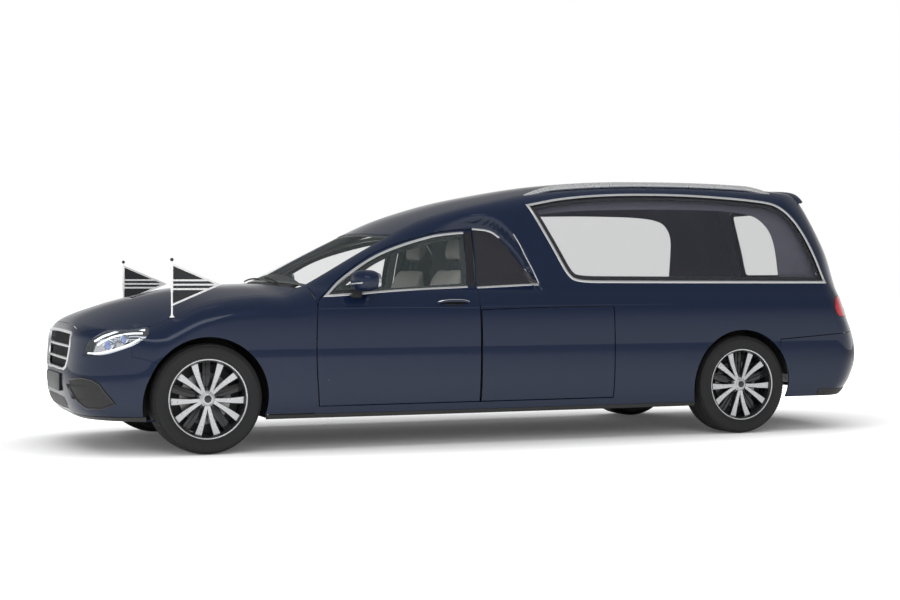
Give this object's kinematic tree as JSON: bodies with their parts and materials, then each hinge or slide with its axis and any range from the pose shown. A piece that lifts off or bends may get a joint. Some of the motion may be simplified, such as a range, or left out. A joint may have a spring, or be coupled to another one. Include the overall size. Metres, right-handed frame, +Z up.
{
  "type": "hearse",
  "caption": "Long-wheelbase estate hearse with glazed coffin compartment, opening doors, side hatches, bonnet and tailgate, rolling and steering wheels, roof rails and fender pennants.",
  "frame": {"origin": "middle of the vehicle's length and width, on the ground", "axes": "+X towards the nose, +Y to the left side, +Z up"},
  "size_m": [5.7139, 2.0742, 1.7647],
  "materials": {
    "paint": "deep navy metallic clear coat",
    "glass": "tinted",
    "tyre": "matte",
    "rim": "machined face",
    "cast": "dark",
    "black": "textured",
    "chrome": "polished",
    "silver": "satin",
    "lamp": "clear",
    "red_lamp": "red lens",
    "steel": "underbody coating",
    "trim": "grained",
    "leather": "pale grey",
    "wood": "dark lacquer",
    "flag": "woven",
    "white": "blank"
  },
  "bodies": {
    "body": {"underbody": "steel", "engine": "cast", "axle_frames": "cast", "exhaust": "silver", "wheelhouses": "black", "cowl": "black", "front_bumper": "paint", "grille": "chrome", "headlights": "lamp", "roof": "paint", "windscreen": "glass", "side_windows": "glass", "rear_bumper": "paint", "tail_lamps": "red_lamp", "roof_rails": "silver", "number_plates": "white", "dashboard": "trim", "front_seats": "leather", "load_deck": "wood", "flagstaffs": "silver", "pennants": "flag", "hinges": "steel", "fender_left": "paint", "side_panel_left": "paint", "fender_right": "paint", "side_panel_right": "paint"},
    "bonnet": {"bonnet": "paint"},
    "tailgate": {"tailgate": "paint", "tailgate_glass": "glass"},
    "steering_wheel": {"steering_wheel": "trim"},
    "front_door_left": {"front_door_left": "paint", "door_glass_left": "glass", "door_mirror_left": "paint"},
    "side_hatch_left": {"side_hatch_left": "paint"},
    "knuckle_left": {"knuckle_left": "cast"},
    "wheel_front_left": {"wheel_front_left": "rim", "tyre_front_left": "tyre"},
    "wheel_rear_left": {"wheel_rear_left": "rim", "tyre_rear_left": "tyre"},
    "front_door_right": {"front_door_right": "paint", "door_glass_right": "glass", "door_mirror_right": "paint"},
    "side_hatch_right": {"side_hatch_right": "paint"},
    "knuckle_right": {"knuckle_right": "cast"},
    "wheel_front_right": {"wheel_front_right": "rim", "tyre_front_right": "tyre"},
    "wheel_rear_right": {"wheel_rear_right": "rim", "tyre_rear_right": "tyre"}
  },
  "joints": [
    {"name": "bonnet_hinge", "type": "hinge", "parent": "body", "child": "bonnet", "pos_m": [1.4205, 0, 0.98], "axis": [0, -1, 0], "range_deg": [0, 50]},
    {"name": "tailgate_hinge", "type": "hinge", "parent": "body", "child": "tailgate", "pos_m": [-2.3505, 0, 1.70342], "axis": [0, 1, 0], "range_deg": [0, 80]},
    {"name": "front_door_left_hinge", "type": "hinge", "parent": "body", "child": "front_door_left", "pos_m": [1.3045, 0.912, 0.56], "axis": [0, 0, -1], "range_deg": [0, 68]},
    {"name": "side_hatch_left_hinge", "type": "hinge", "parent": "body", "child": "side_hatch_left", "pos_m": [0.2045, 0.912, 0.56], "axis": [0, 0, -1], "range_deg": [0, 68]},
    {"name": "front_door_right_hinge", "type": "hinge", "parent": "body", "child": "front_door_right", "pos_m": [1.3045, -0.912, 0.56], "axis": [0, 0, 1], "range_deg": [0, 68]},
    {"name": "side_hatch_right_hinge", "type": "hinge", "parent": "body", "child": "side_hatch_right", "pos_m": [0.2045, -0.912, 0.56], "axis": [0, 0, 1], "range_deg": [0, 68]},
    {"name": "steering", "type": "hinge", "parent": "body", "child": "steering_wheel", "pos_m": [1.0505, 0.37, 0.88], "axis": [-0.9063, 0, 0.4226], "range_deg": [-480, 480]},
    {"name": "steer_left", "type": "hinge", "parent": "body", "child": "knuckle_left", "pos_m": [2.0605, 0.7165, 0.25], "axis": [0, 0, 1], "range_deg": [-32, 32]},
    {"name": "front_wheel_left_roll", "type": "hinge", "parent": "knuckle_left", "child": "wheel_front_left", "pos_m": [2.0605, 0.7915, 0.338], "axis": [0, 1, 0], "continuous": true},
    {"name": "rear_wheel_left_roll", "type": "hinge", "parent": "body", "child": "wheel_rear_left", "pos_m": [-1.6795, 0.7915, 0.338], "axis": [0, 1, 0], "continuous": true},
    {"name": "steer_right", "type": "hinge", "parent": "body", "child": "knuckle_right", "pos_m": [2.0605, -0.7165, 0.25], "axis": [0, 0, 1], "range_deg": [-32, 32]},
    {"name": "front_wheel_right_roll", "type": "hinge", "parent": "knuckle_right", "child": "wheel_front_right", "pos_m": [2.0605, -0.7915, 0.338], "axis": [0, 1, 0], "continuous": true},
    {"name": "rear_wheel_right_roll", "type": "hinge", "parent": "body", "child": "wheel_rear_right", "pos_m": [-1.6795, -0.7915, 0.338], "axis": [0, 1, 0], "continuous": true}
  ],
  "couplings": [
    {"joint": "steer_left", "follows": "steering", "ratio": 0.0666},
    {"joint": "steer_right", "follows": "steering", "ratio": 0.0666}
  ]
}
